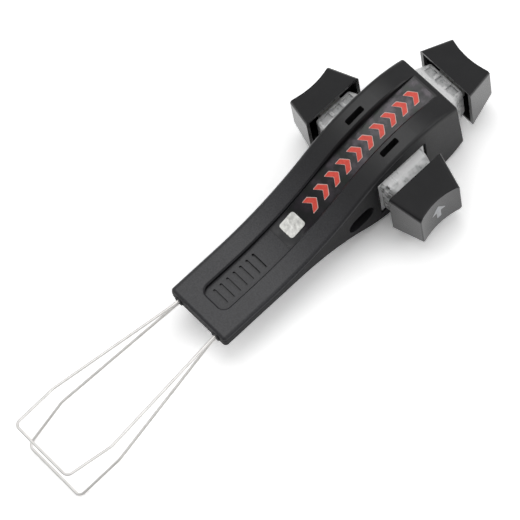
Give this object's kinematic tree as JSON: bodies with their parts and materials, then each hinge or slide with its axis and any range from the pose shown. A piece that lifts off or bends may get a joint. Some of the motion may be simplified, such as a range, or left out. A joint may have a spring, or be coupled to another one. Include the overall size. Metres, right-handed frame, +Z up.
{
  "type": "keycap puller",
  "caption": "Keycap puller: bent steel wire loops on a curved moulded handle with a grooved top, a lanyard hole and clickable key switches with keycaps in its thick head.",
  "frame": {"origin": "on the flat belly that the puller rests on, below the axis of the side keys, midway across the width", "axes": "+Y from the wire loops towards the head and its end key, +Z up from the belly, X across the width"},
  "size_m": [0.0472, 0.1471, 0.027],
  "materials": {
    "body_plastic": "black moulded plastic with a fine matte texture",
    "label_film": "dark glossy film with a faint coloured sheen",
    "steel_wire": "bright drawn spring steel wire",
    "clear_housing": "clear, slightly milky moulded plastic",
    "stem_plastic": "smooth white moulded plastic",
    "spring_steel": "plain spring steel",
    "contact_brass": "thin stamped brass",
    "keycap_plastic": "black moulded plastic with a fine matte texture"
  },
  "bodies": {
    "handle": {"handle_body": "body_plastic", "label": "label_film", "wire_loop_upper": "steel_wire", "wire_loop_lower": "steel_wire", "left_switch_base": "clear_housing", "left_switch_cover": "clear_housing", "left_spring": "spring_steel", "left_fixed_contact": "contact_brass", "left_moving_contact": "contact_brass", "right_switch_base": "clear_housing", "right_switch_cover": "clear_housing", "right_spring": "spring_steel", "right_fixed_contact": "contact_brass", "right_moving_contact": "contact_brass", "end_switch_base": "clear_housing", "end_switch_cover": "clear_housing", "end_spring": "spring_steel", "end_fixed_contact": "contact_brass", "end_moving_contact": "contact_brass"},
    "left_key": {"left_stem": "stem_plastic", "left_keycap": "keycap_plastic"},
    "right_key": {"right_stem": "stem_plastic", "right_keycap": "keycap_plastic"},
    "end_key": {"end_stem": "stem_plastic", "end_keycap": "keycap_plastic"}
  },
  "joints": [
    {"name": "left_key_press", "type": "slide", "parent": "handle", "child": "left_key", "axis": [1, 0, 0], "range_m": [0, 0.0036], "stiffness_N_per_m": 90, "springref_m": -0.0034, "deforming": ["left_spring"]},
    {"name": "right_key_press", "type": "slide", "parent": "handle", "child": "right_key", "axis": [-1, 0, 0], "range_m": [0, 0.0036], "stiffness_N_per_m": 90, "springref_m": -0.0034, "deforming": ["right_spring"]},
    {"name": "end_key_press", "type": "slide", "parent": "handle", "child": "end_key", "axis": [0, -1, 0], "range_m": [0, 0.0036], "stiffness_N_per_m": 90, "springref_m": -0.0034, "deforming": ["end_spring"]}
  ]
}
